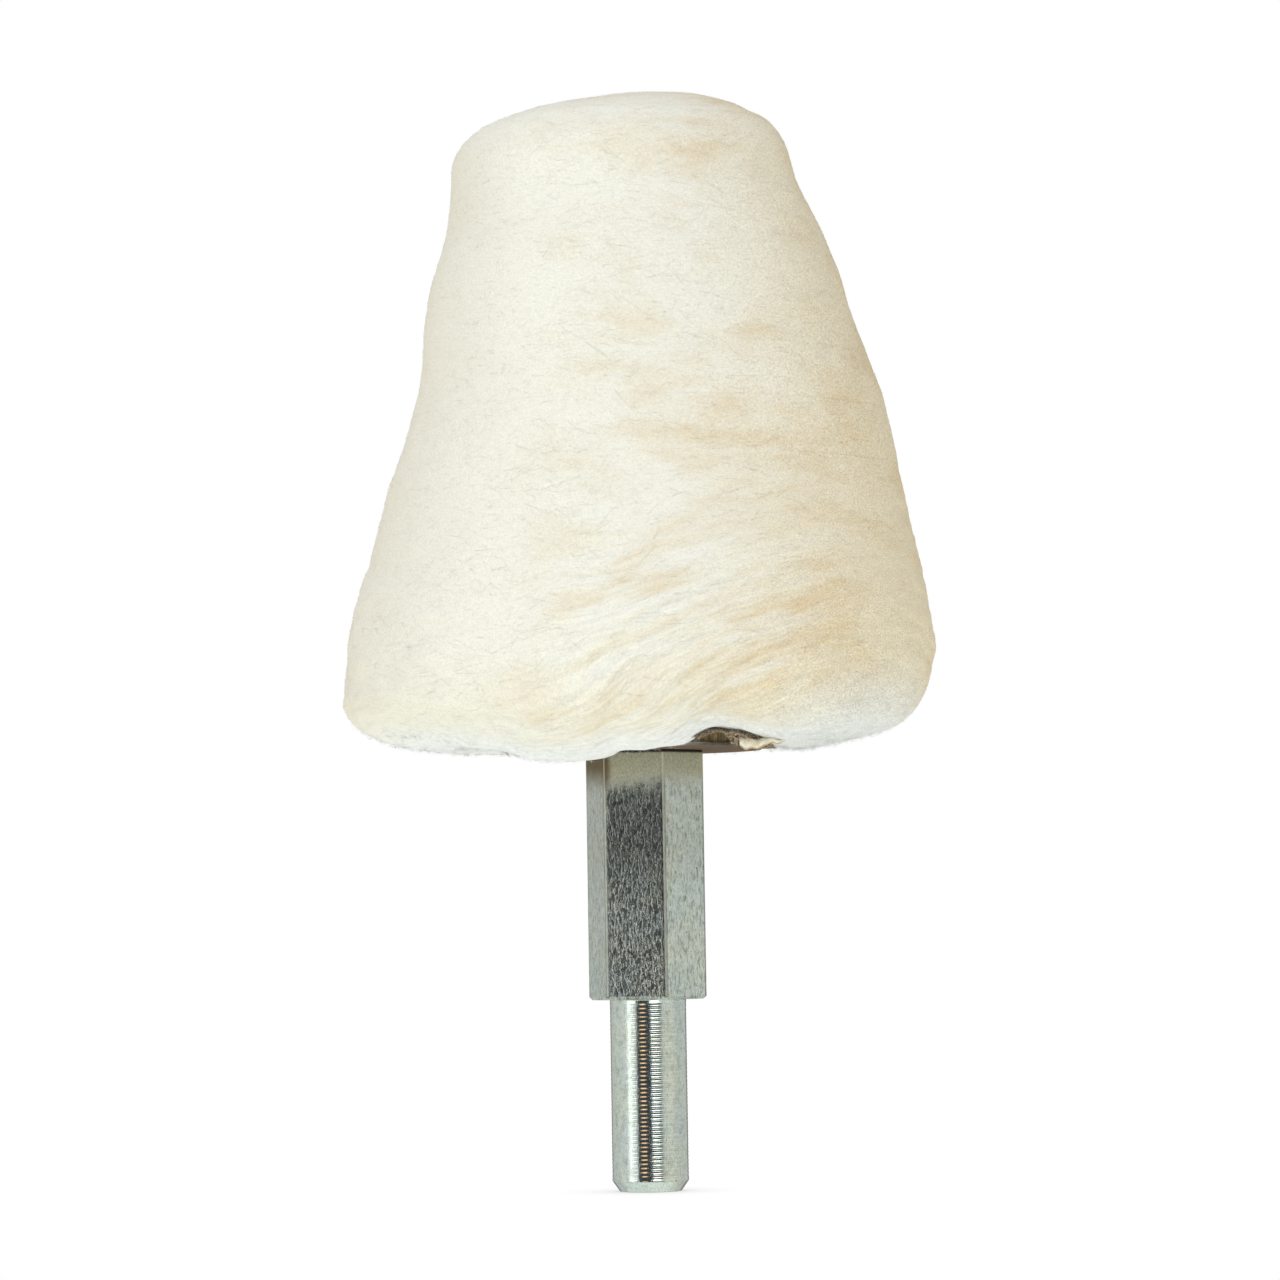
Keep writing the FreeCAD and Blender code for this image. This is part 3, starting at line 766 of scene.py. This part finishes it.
class Coat:
    """The cotton's outer surface as a fine grid, looked up by angle and by travel up the outline.

    Angles go round the mop's axis: zero faces the camera and a quarter turn is the camera's right.
    On the grid, aside is the distance to the camera's right and near the distance towards it. The
    first two numbers of an ease or a fade are the distances between which a change comes in."""

    def __init__(self):
        line, self.travel = smooth_line(OUTLINE, ROW_STEP)
        radial = COTTON_RADIUS / OUTLINE_RADIUS
        rise = (COTTON_HIGH - COTTON_LOW) / OUTLINE_TALL
        self.radius = line[:, 0] * radial
        self.height = COTTON_LOW + (line[:, 1] - OUTLINE_LOW) * rise
        self.length = self.travel[-1]
        self.rim = self.nearest(OUTLINE_RIM)
        self.crest = self.nearest(OUTLINE_CREST)
        self.splits = np.linspace(self.rim, self.crest, SET_COUNT + 1)
        self.splits[0], self.splits[-1] = 0, self.length
        angle = even_angles(FINE_COLUMNS)[None, :]
        self.aside = self.radius[:, None] * np.sin(angle)
        self.near = self.radius[:, None] * np.cos(angle)
        self.out = np.cos(angle)[..., None] * TOWARD + np.sin(angle)[..., None] * RIGHT
        self.back = fade(-16, 2, self.near)
        self.points = self.shaped()
        self.comb()
        self.points = self.points + self.relief()
        self.measure()

    def nearest(self, point):
        gap = np.hypot(self.radius - point[0], self.height - point[1])
        return self.travel[int(gap.argmin())]

    def shaped(self):
        """The outline turned round the axis, swayed to one side, with its hem and notch."""
        travel, radius, height = self.travel[:, None], self.radius[:, None], self.height[:, None]
        aside, near = self.aside, self.near
        points = radius[..., None] * self.out + height[..., None] * UP
        foot, body = travel < 0.5 * self.length, travel < self.crest

        # The washers and the well that the screw rises in stay where they are.
        outer = ease(13.5, 19, radius) * body \
            + ~body * fade(self.crest, self.crest + 2.5, travel)
        outer = np.where(body & ~foot, 1, outer)
        sway = sum(shift * bell(centre, spread, self.height) for centre, spread, shift in SWAY)
        points = points + (sway[:, None] * outer)[..., None] * RIGHT

        low = fade(COTTON_LOW + 1.2, COTTON_LOW + 9.5, height) * foot
        tight = fade(COTTON_LOW + 1, COTTON_LOW + 8, height)
        hem = hem_rise(aside)
        droop = np.minimum(hem, 0) * ease(8, 14, near)
        gap = np.maximum(hem, 0) * ease(2, 9, near)
        behind = fade(14, 16, near)
        hollow = NOTCH_DEPTH * (1 + behind * (0.3 - 0.9 * ease(9.8, 11, aside)))
        tilt = TILT * np.tanh(aside / TILT_REACH) * ease(-12, 6, near) - 0.06
        tilt = tilt + 0.35 * fade(-14, -3, near)
        lift = tilt * low * outer + droop * low * ease(0.3, 1.8, travel)
        lift = lift + gap * hollow * tight * (low > 0) * ease(-1, 0.8, travel)
        shoulder = 0.30 * ease(0, 9, -aside) * ease(113.2, 114.2, height)
        self.notch = ease(0.3, 0.7, gap) * (low > 0) * fade(16, 17, near) \
            * (travel < self.rim) * ease(6.2, 7.8, aside)
        return points + (lift - shoulder)[..., None] * UP

    def comb(self):
        """The lines of nap: level round the mop, but combed up to the right at the front's foot."""
        travel, aside, near = self.travel[:, None], self.aside, self.near
        self.combed = ease(-26, 8, near) * fade(20, 46, travel) \
            * ease(4, 12, travel)
        strands = self.combed * ease(-19, -3, aside) * fade(14, 25, aside)
        self.strands = strands * ease(-6, 6, near)
        ramp = np.where(aside < -14, 0, np.where(aside < 0, (aside + 14) ** 2 / 28, aside + 7))
        self.place = np.stack(np.broadcast_arrays(aside, near, travel), -1)
        self.wave = lattice_noise(self.place / (17, 17, 9), 11) \
            + 0.4 * lattice_noise(self.place / (6, 6, 4), 12)
        self.nap_line = travel - LEAN * self.combed * np.minimum(ramp, 26) + 1.3 * self.wave
        self.lie = np.stack(np.broadcast_arrays(aside, near, self.nap_line), -1)

    def relief(self):
        """How far lumps, tufts, ripples of the plies and the lines between sets stand out."""
        travel, place = self.travel[:, None], self.place
        loose = ease(0.4, 4, travel) \
            * fade(self.crest + 0.5, self.crest + 3.5, travel)
        lumps = 0.30 * lattice_noise(place / (17, 17, 13), 21)
        lumps = lumps + 0.12 * lattice_noise(place / (10, 10, 4.5), 22)
        size = 0.035 + 0.22 * self.combed + 0.09 * self.back * (1 - self.combed)
        tufts = size * lattice_noise(self.lie / (7, 7, 2.1), 23)
        tufts = tufts + 0.4 * size * lattice_noise(self.lie / (3, 3, 1), 24)
        under = 0.10 * fade(10, 16, travel)
        tufts = tufts + under * lattice_noise(place / (2.2, 2.2, 2.2), 26)
        ripple = np.cos(TURN * (travel + 0.5 * self.wave) / PLY_RIPPLE)
        plies = 0.012 * (1 - 0.7 * self.back) * ripple
        seams = -0.05 * sum(bell(split, 0.5, travel) for split in self.splits[1:-1])
        seams = seams * (0.6 + 0.7 * lattice_noise(place / (12, 12, 12), 25))
        relief = (lumps + tufts + plies + seams - 0.06) * loose
        along_radius = np.gradient(self.radius, self.travel)[:, None, None]
        along_height = np.gradient(self.height, self.travel)[:, None, None]
        return relief[..., None] * (along_height * self.out - along_radius * UP)

    def measure(self):
        """The finished surface's normals, the direction of its nap and its marks."""
        travel, aside, near, points = self.travel[:, None], self.aside, self.near, self.points
        across = np.roll(points, -1, 1) - np.roll(points, 1, 1)
        normals = np.cross(across, np.gradient(points, axis=0))
        self.normals = normals / np.linalg.norm(normals, axis=-1)[..., None]
        line = self.nap_line
        across_line = (np.roll(line, -1, 1) - np.roll(line, 1, 1)) / (2 * TURN / FINE_COLUMNS)
        across_line = across_line / np.maximum(self.radius[:, None], 4)
        upward_line = np.gradient(line, ROW_STEP, axis=0)
        self.grain = np.arctan2(-across_line, np.maximum(upward_line, 0.15))
        # The white fluff of the underside climbs the rim at the camera's right.
        climb = 6.5 * ease(9, 26, aside) * ease(-20, 2, near)
        fluff = 0.9 * fade(8, 19, travel - climb)
        warm = ease(-20, 6, aside) * ease(-30, 5, near)
        self.marks = {
            "combed": self.strands, "lie": self.lie, "soil_and_shade": self.notch, "fluff": fluff,
            "warmth": np.maximum(warm, 0.7 * self.back), "facing": self.normals,
        }

    def at(self, grid, angle, travel):
        """Values of a grid at any angles and travels."""
        column = (np.asarray(angle, float) % TURN) / TURN * FINE_COLUMNS
        row = np.clip(np.asarray(travel, float) / self.length, 0, 1) * (len(self.travel) - 1)
        j = np.floor(column).astype(int)
        i = np.minimum(np.floor(row).astype(int), len(self.travel) - 2)
        a, b = column - j, row - i
        if grid.ndim == 3:
            a, b = a[..., None], b[..., None]
        j, k = j % FINE_COLUMNS, (j + 1) % FINE_COLUMNS
        lower = grid[i, j] * (1 - a) + grid[i, k] * a
        upper = grid[i + 1, j] * (1 - a) + grid[i + 1, k] * a
        return lower * (1 - b) + upper * b


CLOTH_COLUMNS = 480
CLOTH_STEP = 0.38
PLY_GAP = 0.04
LOW_BEND = 6
CROWN_BEND = 2.5
END_BEND = 0.3


def ply_face(angle, share, rim, gap):
    """Rows of points from the rim in to the bore along one face of a set of plies."""
    core_height = DISC_HIGH + (TOP_DISC_LOW - DISC_HIGH) * share + gap
    clamp = DISC_RADIUS + (TOP_DISC_RADIUS - DISC_RADIUS) * share
    bend = END_BEND if share in (0, 1) else LOW_BEND + (CROWN_BEND - LOW_BEND) * share
    out = np.cos(angle)[:, None] * TOWARD + np.sin(angle)[:, None] * RIGHT
    edge = clamp * out + core_height * UP
    knee = (clamp + bend) * out + core_height * UP
    rows = []
    for t in (0.94, 0.8, 0.6, 0.4, 0.2, 0):
        rows.append(t * t * rim + 2 * t * (1 - t) * knee + (1 - t) ** 2 * edge)
    return rows + [BORE_RADIUS * out + core_height * UP]


def make_cloth(coat, number):
    """One set of plies as a closed ring: its napped outside and the faces it shares with others."""
    angle = even_angles(CLOTH_COLUMNS)
    low, high = coat.splits[number], coat.splits[number + 1]
    low_gap = PLY_GAP if number else 0
    high_gap = PLY_GAP if number < SET_COUNT - 1 else 0
    travels = np.linspace(low, high, int(math.ceil((high - low) / CLOTH_STEP)) + 1)

    def outside(grid):
        return np.array([coat.at(grid, angle, np.full(CLOTH_COLUMNS, t)) for t in travels])

    rows = outside(coat.points)
    upper = ply_face(angle, (number + 1) / SET_COUNT, rows[-1], -high_gap)
    lower = ply_face(angle, number / SET_COUNT, rows[0], low_gap)
    ring = np.concatenate([rows, upper, lower[::-1]])
    points = ring.reshape(-1, 3)
    # The hidden faces take the marks of the rim that they meet.
    row = np.r_[0:len(rows), [len(rows) - 1] * len(upper), [0] * len(lower)]
    marks = {}
    for mark, grid in coat.marks.items():
        values = outside(grid)[row]
        marks[mark] = values.reshape((len(points),) + values.shape[2:])
    hidden = len(rows) * CLOTH_COLUMNS
    marks["lie"][hidden:] = points[hidden:] @ np.array([RIGHT, TOWARD, UP]).T
    marks["shade"] = np.full(len(points), -0.01)
    quads, uvs = grid_faces(len(ring), CLOTH_COLUMNS, wrap_rows=True)
    name = SET_NAMES[number]
    cloth = new_piece(f"{name}_cloth", points, [quads], COTTON, "mop", uvs, marks, 60)
    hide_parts(name)


FIBRE_ROOT_DEPTH = 0.06
FIBRE_TAPER = 0.55
FIBRE_FLATNESS = 0.45


def tapered_fibres(coat, angle, travel, heading, length, width, lift, curl, steps):
    """Closed three-sided fibres that lie along the coat and end in a point, one row a fibre, and the
    coat's marks under each of their points."""
    size = steps * 3 + 1
    points = np.zeros((len(angle), size, 3))
    under = np.zeros((len(angle), size, 2))
    for step in range(steps + 1):
        share = step / steps
        centre = coat.at(coat.points, angle, travel)
        normal = coat.at(coat.normals, angle, travel)
        normal /= np.linalg.norm(normal, axis=1)[:, None]
        radius = np.maximum(np.hypot(centre[:, 0], centre[:, 1]), 2)
        arch = math.sin(math.pi * min(0.62, 0.12 + 0.62 * share))
        rise = (lift + FIBRE_ROOT_DEPTH) * arch - FIBRE_ROOT_DEPTH
        centre = centre + normal * rise[:, None]
        around = np.cross(UP, centre)
        around /= np.linalg.norm(around, axis=1)[:, None]
        upward = np.cross(normal, around)
        side = -np.sin(heading)[:, None] * around + np.cos(heading)[:, None] * upward
        under[:, step * 3:step * 3 + 3] = np.stack([angle, travel], 1)[:, None]
        if step == steps:
            points[:, -1] = centre
            break
        half = (width * (1 - FIBRE_TAPER * share) / 2)[:, None]
        for k, (across, above) in enumerate(((1, 0), (0, FIBRE_FLATNESS), (-1, 0))):
            points[:, step * 3 + k] = centre + (across * side + above * normal) * half
        stride = length / steps
        angle = angle + stride * np.cos(heading) / radius
        travel = np.clip(travel + stride * np.sin(heading), 0.05, coat.length - 0.05)
        heading = heading + curl / steps
    under = under.reshape(-1, 2)
    marks = {mark: coat.at(grid, under[:, 0], under[:, 1]) for mark, grid in coat.marks.items()}
    return points, marks


def fibre_faces(count, steps):
    tip = steps * 3
    quads, tris = [], [(0, 2, 1)]
    for here in range(tip - 3):
        there = here - 2 if here % 3 == 2 else here + 1
        quads.append((here, there, there + 3, here + 3))
    tris += [(tip - 3 + k, tip - 3 + (k + 1) % 3, tip) for k in range(3)]
    starts = (np.arange(count) * (tip + 1))[:, None, None]
    return (starts + np.array(quads)).reshape(-1, 4), (starts + np.array(tris)).reshape(-1, 3)


# Kinds of raised fibre: roots on a square millimetre; length, width and lift, each from and to; how
# far they stray from the lie of the nap; how much longer they are where the foot is combed; how
# much their shade varies; and how far up from the washer they grow.
NAP_KINDS = (
    (1.3, (0.8, 1.8), (0.030, 0.055), (0.01, 0.07), 0.6, 0.5, 0.02, 1000),
    (0.12, (2, 4), (0.035, 0.055), (0.03, 0.14), 0.4, 0.8, 0.02, 1000),
    (1.5, (0.7, 1.7), (0.028, 0.045), (0.10, 0.45), 1.6, 0.2, 0.10, 19),
)
NAP_STEPS = 2
NAP_UV_SIZE = 0.0007
SPECK_CHANCE = 0.0003
SPECK_LENGTH = 0.7
SPECK_SHADE = -0.75


def nap_batch(coat, draw, low, high, kind):
    """Fibres of one kind with roots between two travels, as tapered_fibres takes them, and their
    shades."""
    density, lengths, widths, lifts, stray, longer, shades, reach = kind
    widest = np.interp(np.linspace(low, high, 40), coat.travel, coat.radius).max()
    tries = int(density * TURN * widest * (high - low))
    travel = draw.uniform(low, high, tries)
    angle = draw.uniform(0, TURN, tries)
    chance = draw.uniform(0, 1, tries)
    radius = np.interp(travel, coat.travel, coat.radius)
    well = ease(coat.crest + 1, coat.crest + 5, travel)
    inner = np.maximum(fade(0.5, 5, travel), well)
    likely = radius / widest * (1 - 0.75 * inner) * fade(0.6, 1, travel / reach)
    keep = (chance < likely) & (coat.at(coat.notch, angle, travel) < 0.3)
    keep &= (travel > 1.2) & (travel < coat.length - 3)
    travel, angle, inner, radius = travel[keep], angle[keep], inner[keep], radius[keep]
    count = len(travel)
    combed = fade(13, 30, travel) * ease(-6, 6, radius * np.cos(angle))
    heading = coat.at(coat.grain, angle, travel) + draw.normal(0, stray, count)
    length = draw.uniform(*lengths, count) * (1 + longer * combed) * (1 - 0.5 * inner)
    width = draw.uniform(*widths, count)
    lift = draw.uniform(*lifts, count) * (1 - 0.6 * inner)
    curl = draw.normal(0, 0.6, count)
    # The fibres are drawn a little lighter on average: painted light that makes up for the light lost
    # on their thin sides. Otherwise their shade varies at random.
    shade = draw.normal(0.03, shades, count)
    speck = draw.uniform(0, 1, count) < SPECK_CHANCE
    length = np.where(speck, SPECK_LENGTH, length)
    return angle, travel, heading, length, width, lift, curl, np.where(speck, SPECK_SHADE, shade)


def make_nap(coat, number):
    """The raised fibres whose roots are on one set of plies."""
    draw = np.random.default_rng(SEED + 100 + number)
    low, high = coat.splits[number], coat.splits[number + 1]
    batches = [nap_batch(coat, draw, low, high, kind) for kind in NAP_KINDS]
    *fibres, shade = map(np.concatenate, zip(*batches))
    points, marks = tapered_fibres(coat, *fibres, NAP_STEPS)
    marks["shade"] = np.repeat(shade, points.shape[1])
    faces = fibre_faces(len(shade), NAP_STEPS)
    root = np.stack([fibres[0] / TURN, (fibres[1] - low) / (high - low)], 1)
    cell = NAP_UV_SIZE * np.array([(0, 0), (1, 0), (1, 1), (0, 1)])
    uvs = np.concatenate([
        (np.repeat(root, len(part) // len(root), 0)[:, None] + cell[:part.shape[1]]).ravel()
        for part in faces
    ])
    name = f"{SET_NAMES[number]}_nap"
    nap = new_piece(name, points.reshape(-1, 3), faces, COTTON, "mop", uvs, marks)
    # Thin raised fibres let the light through to what lies behind them.
    nap.visible_shadow = False
    nap.visible_diffuse = False


FRIZZ_TRIES = 42000
FRIZZ_STEPS = 3


def make_frizz(coat):
    """Short curled fibres in the gap beside the washer, coloured for dirt and painted shade."""
    draw = np.random.default_rng(SEED + 70)
    travel = draw.uniform(0.6, coat.rim, FRIZZ_TRIES)
    angle = draw.uniform(math.radians(10), math.radians(60), FRIZZ_TRIES)
    keep = coat.at(coat.notch, angle, travel) > draw.uniform(0.35, 0.9, FRIZZ_TRIES)
    aside = np.interp(travel, coat.travel, coat.radius) * np.sin(angle)
    keep &= (aside > 9.4) | (travel > 3)
    travel, angle = travel[keep], angle[keep]
    count = len(travel)
    points, marks = tapered_fibres(
        coat, angle, travel, draw.uniform(0, TURN, count), draw.uniform(0.4, 1.2, count),
        draw.uniform(0.06, 0.13, count), draw.uniform(0.05, 0.4, count),
        draw.normal(0, 1.5, count), FRIZZ_STEPS,
    )
    size = points.shape[1]
    marks["shade"] = np.repeat(draw.uniform(-0.75, 0.7, count), size)
    # Each fibre's share of the dirt and painted shade, drawn at random.
    marks["soil_and_shade"] = np.repeat(draw.uniform(0.1, 1, count) ** 0.35, size)
    name, faces = "cotton_ply_set_01_frizz", fibre_faces(count, FRIZZ_STEPS)
    new_piece(name, points.reshape(-1, 3), faces, COTTON, "mop", marks=marks)


FLAP_LENGTH_STEPS = 36
FLAP_WIDTH_STEPS = 10
FLAP_HALF_THICK = 0.15


def make_flap():
    """A torn tongue of the lowest ply that hangs in the gap beside the washer."""
    rows, columns = FLAP_LENGTH_STEPS + 1, FLAP_WIDTH_STEPS + 1
    u = np.linspace(0, 1, rows)[:, None]
    v = np.linspace(0, 1, columns)[None, :]
    near = 16.2 - 1.6 * u + 0.35 * np.sin(5 * u) + 0.35 * np.sin(math.pi * v) + 0.25 * v
    top = COTTON_LOW + 0.12 + 0.16 * u + 0.10 * np.sin(11 * u + 0.6) + 0.05 * np.sin(27 * u + 1)
    tall = 1.05 * (1 - u) ** 0.8 * (0.45 + 0.55 * np.minimum(1, u * 7 + 0.1)) + 0.28
    tall = tall + 0.06 * np.sin(17 * u)
    middle = (9.75 + 4.75 * u)[..., None] * RIGHT + (top - tall * v)[..., None] * UP
    half = FLAP_HALF_THICK * np.sin(math.pi * v) ** 0.4 + 0.01
    front, back = (middle + offset[..., None] * TOWARD for offset in (near + half, near - half))
    loops = np.concatenate([front, back[:, ::-1]], 1)
    quads = grid_faces(rows, 2 * columns)[0]
    k = np.arange(FLAP_WIDTH_STEPS)
    behind = 2 * columns - 1 - k
    first_end = np.stack([k + 1, k, behind, behind - 1], 1)
    last_end = np.stack([k, k + 1, behind - 1, behind], 1) + (rows - 1) * 2 * columns
    # Its lower edge is painted brown: dirt and painted shade.
    soil_and_shade = ease(0.72, 1, np.tile(np.concatenate([v[0], v[0, ::-1]]), rows))
    new_piece(
        "cotton_ply_set_01_flap", loops.reshape(-1, 3), [quads, first_end, last_end], TORN_CLOTH,
        "mop", marks={"soil_and_shade": soil_and_shade},
    )


# ---- light, floor and camera ----

COOL = (0.97, 1, 0.95)
WARM = (1, 1, 0.88)
INK = (0.90, 1, 1.16)
# What the metal mirrors: degrees round from the camera to its right, brightness and tint.
CARDS = (
    (-180, 0.22, COOL), (-160, 0.22, COOL), (-152, 0.52, COOL), (-71, 0.68, COOL),
    (-63, 1.35, COOL), (-43, 1.35, COOL), (-35, 0.06, INK), (6, 0.06, INK), (10, 2.6, COOL),
    (27, 1.9, COOL), (36, 0.64, COOL), (70, 0.70, WARM), (95, 0.57, COOL), (148, 0.55, COOL),
    (156, 0.22, COOL), (180, 0.22, COOL),
)
# Where a low golden card is seen, and where steep directions are dark, so that lathe marks show.
GOLD_CARD = ((-180, 0), (-28, 0), (-23, 1), (-12, 1), (-7, 0), (180, 0))
STEEP_DARK = (
    (-180, 0), (-62, 0), (-50, 0.5), (-41, 0.6), (-37, 0), (5, 0), (8, 1), (33, 1), (46, 0.15),
    (180, 0),
)
GOLD = rgb(1.35, 0.88, 0.48)
DARK = rgb(0.03, 0.032, 0.035)
FROM_BELOW = rgb(0.72, 0.78, 0.74)
SOFT_BACK = rgb(0.34, 0.27, 0.13)
SOFT_FRONT = rgb(0.89, 0.93, 1.06)
SOFT_AZIMUTH = math.radians(-20)
SOFT_HEIGHT = 0.35


def card(degrees, level, tint=(1, 1, 1)):
    """A stop of a colour ramp that goes once round."""
    return (degrees + 180) / 360, rgb(*(level * share for share in tint))


def make_world():
    """White to the camera, soft light on the cotton, and a studio of cards in the metal."""
    world = bpy.data.worlds.new("studio")
    bpy.context.scene.world = world
    world.use_nodes = True
    world.cycles.sampling_method = "NONE"
    nodes = Nodes(world.node_tree)
    direction = nodes.add("ShaderNodeTexCoord", None, "Generated")
    right, toward, upward = (direction.dot(axis) for axis in (RIGHT, TOWARD, UP))
    around = nodes.math("ARCTAN2", right, toward).between(-math.pi, math.pi, kind="LINEAR")

    rings = ([card(*stop) for stop in stops] for stops in (CARDS, GOLD_CARD, STEEP_DARK))
    cards, gold, dark = (nodes.ramp(around, ring) for ring in rings)
    band = upward.between(-0.56, -0.40) * upward.between(-0.12, -0.26)
    steep = nodes.math("ABSOLUTE", upward).between(0.10, 0.18)
    glossy = (dark * steep).mix(cards, DARK)
    glossy = (band * gold).mix(glossy, GOLD)
    glossy = upward.between(-0.6, -0.8).mix(glossy, FROM_BELOW)
    key = math.cos(SOFT_AZIMUTH) * TOWARD + math.sin(SOFT_AZIMUTH) * RIGHT + SOFT_HEIGHT * UP
    facing = direction.dot(key).between(-1, 1, kind="LINEAR")
    soft = facing.mix(SOFT_BACK, SOFT_FRONT)
    light = nodes.add("ShaderNodeLightPath", None, "Is Glossy Ray").mix(soft, glossy)
    light = nodes.add("ShaderNodeLightPath", None, "Is Camera Ray").mix(light, rgb(1, 1, 1))
    background = nodes.add("ShaderNodeBackground", {"Color": light, "Strength": 1})
    nodes.finish("ShaderNodeOutputWorld", background)


FLOOR_REACH = 0.4
FLOOR_CORNERS = 96
FLOOR_DROP = 0.00002
FLOOR_LIGHT = rgb(1.08, 1.09, 1.04)
CONTACT_REACH = 7


def make_floor():
    """A plain white floor that shows only a soft contact shadow."""
    nodes = new_material("floor_white")
    reach = {"Distance": CONTACT_REACH * MM}
    open_sky = nodes.add("ShaderNodeAmbientOcclusion", reach, "AO", samples=12)
    level = open_sky.between(0.15, 0.96, 0.68, 1, "LINEAR")
    shown = nodes.add("ShaderNodeEmission", {"Color": level})
    lit = nodes.add("ShaderNodeEmission", {"Color": FLOOR_LIGHT})
    seen = nodes.add("ShaderNodeLightPath", None, "Is Camera Ray")
    both = nodes.add("ShaderNodeMixShader", {0: seen, 1: lit, 2: shown})
    nodes.finish("ShaderNodeOutputMaterial", both)
    angles = even_angles(FLOOR_CORNERS)
    rim = [(FLOOR_REACH * math.cos(a), FLOOR_REACH * math.sin(a), 0) for a in angles]
    mesh = bpy.data.meshes.new("floor")
    mesh.from_pydata(rim, [], [list(range(FLOOR_CORNERS))])
    mesh.materials.append(nodes.material)
    floor = bpy.data.objects.new("floor", mesh)
    floor.location.z = cad_low.z - FLOOR_DROP
    floor.visible_glossy = False
    bpy.context.scene.collection.objects.link(floor)


LAMP_SIZE = 0.5
LAMP_ENERGY = 2.8
LAMP_COLOR = (0.96, 1, 1.06)
LAMP_AIM = Vector((0, 0, 0.08))
LAMP_PLACE = Vector((TOWARD * 0.85 - RIGHT * 0.38 + UP * 0.774).tolist())


def make_lights():
    """One large soft lamp at the camera's left, which the metal doesn't mirror."""
    data = bpy.data.lights.new("key", "AREA")
    data.shape = "DISK"
    data.size = LAMP_SIZE
    data.energy = LAMP_ENERGY
    data.color = LAMP_COLOR
    lamp = bpy.data.objects.new("key", data)
    bpy.context.scene.collection.objects.link(lamp)
    lamp.location = LAMP_PLACE
    lamp.rotation_mode = "QUATERNION"
    lamp.rotation_quaternion = (LAMP_AIM - LAMP_PLACE).to_track_quat("-Z", "Y")
    lamp.visible_glossy = False
    lamp.visible_camera = False


def make_camera():
    data = bpy.data.cameras.new("camera")
    data.sensor_width = 36
    data.lens = CAMERA_LENS
    data.clip_start = 0.01
    data.clip_end = 20
    camera = bpy.data.objects.new("camera", data)
    bpy.context.scene.collection.objects.link(camera)
    place = CAMERA_DISTANCE * TOWARD + CAMERA_HEIGHT * UP
    back = place - (CAMERA_AIM_ASIDE * RIGHT + CAMERA_AIM_HEIGHT * UP)
    back /= np.linalg.norm(back)
    side = np.cross(UP, back)
    side /= np.linalg.norm(side)
    over = np.cross(back, side) * math.cos(CAMERA_ROLL) + side * math.sin(CAMERA_ROLL)
    columns = np.stack([np.cross(over, back), over, back, place * MM], 1)
    camera.matrix_world = Matrix([*columns.tolist(), [0, 0, 0, 1]])
    bpy.context.scene.camera = camera


# ---- build ----

make_shank()
make_screw()
make_base_disc()
finish_cad_nodes()

cotton = Coat()
for set_number in range(SET_COUNT):
    make_cloth(cotton, set_number)
    make_nap(cotton, set_number)
make_frizz(cotton)
make_flap()

make_world()
make_floor()
make_lights()
make_camera()
bpy.context.scene.view_settings.view_transform = "Standard"
